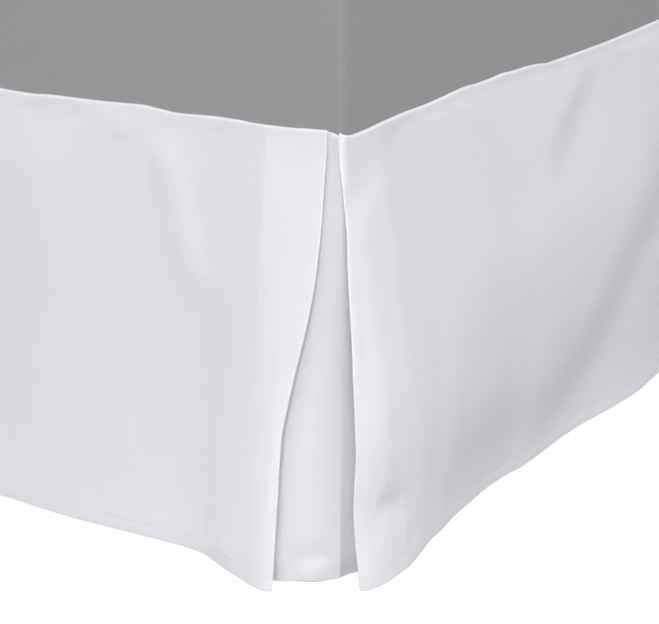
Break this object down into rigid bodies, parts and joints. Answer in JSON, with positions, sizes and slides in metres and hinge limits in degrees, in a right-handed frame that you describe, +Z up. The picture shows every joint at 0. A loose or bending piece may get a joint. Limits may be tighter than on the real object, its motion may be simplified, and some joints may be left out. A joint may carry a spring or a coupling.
{
  "type": "bed skirt on a mattress and box spring",
  "caption": "Tailored cloth bed skirt with pleated foot corners, hanging over three sides of a plain bed.",
  "frame": {"origin": "centre of the footprint, at floor level", "axes": "+X across the bed, +Y from the foot end to the head end, +Z up"},
  "size_m": [1.5891, 2.0826, 0.6383],
  "materials": {
    "skirt_cloth": "white plain-weave cotton blend, matt",
    "mattress_cloth": "grey knitted cover, matt",
    "box_spring_cloth": "grey woven cover, matt",
    "leg_wood": "dark stained wood, satin"
  },
  "bodies": {
    "root": {"deck": "skirt_cloth", "foot_drop": "skirt_cloth", "right_drop": "skirt_cloth", "left_drop": "skirt_cloth", "underlay_right": "skirt_cloth", "underlay_left": "skirt_cloth", "mattress": "mattress_cloth", "box_spring": "box_spring_cloth", "leg_foot_left": "leg_wood", "leg_foot_right": "leg_wood", "leg_middle_left": "leg_wood", "leg_middle_right": "leg_wood", "leg_head_left": "leg_wood", "leg_head_right": "leg_wood"}
  },
  "joints": []
}
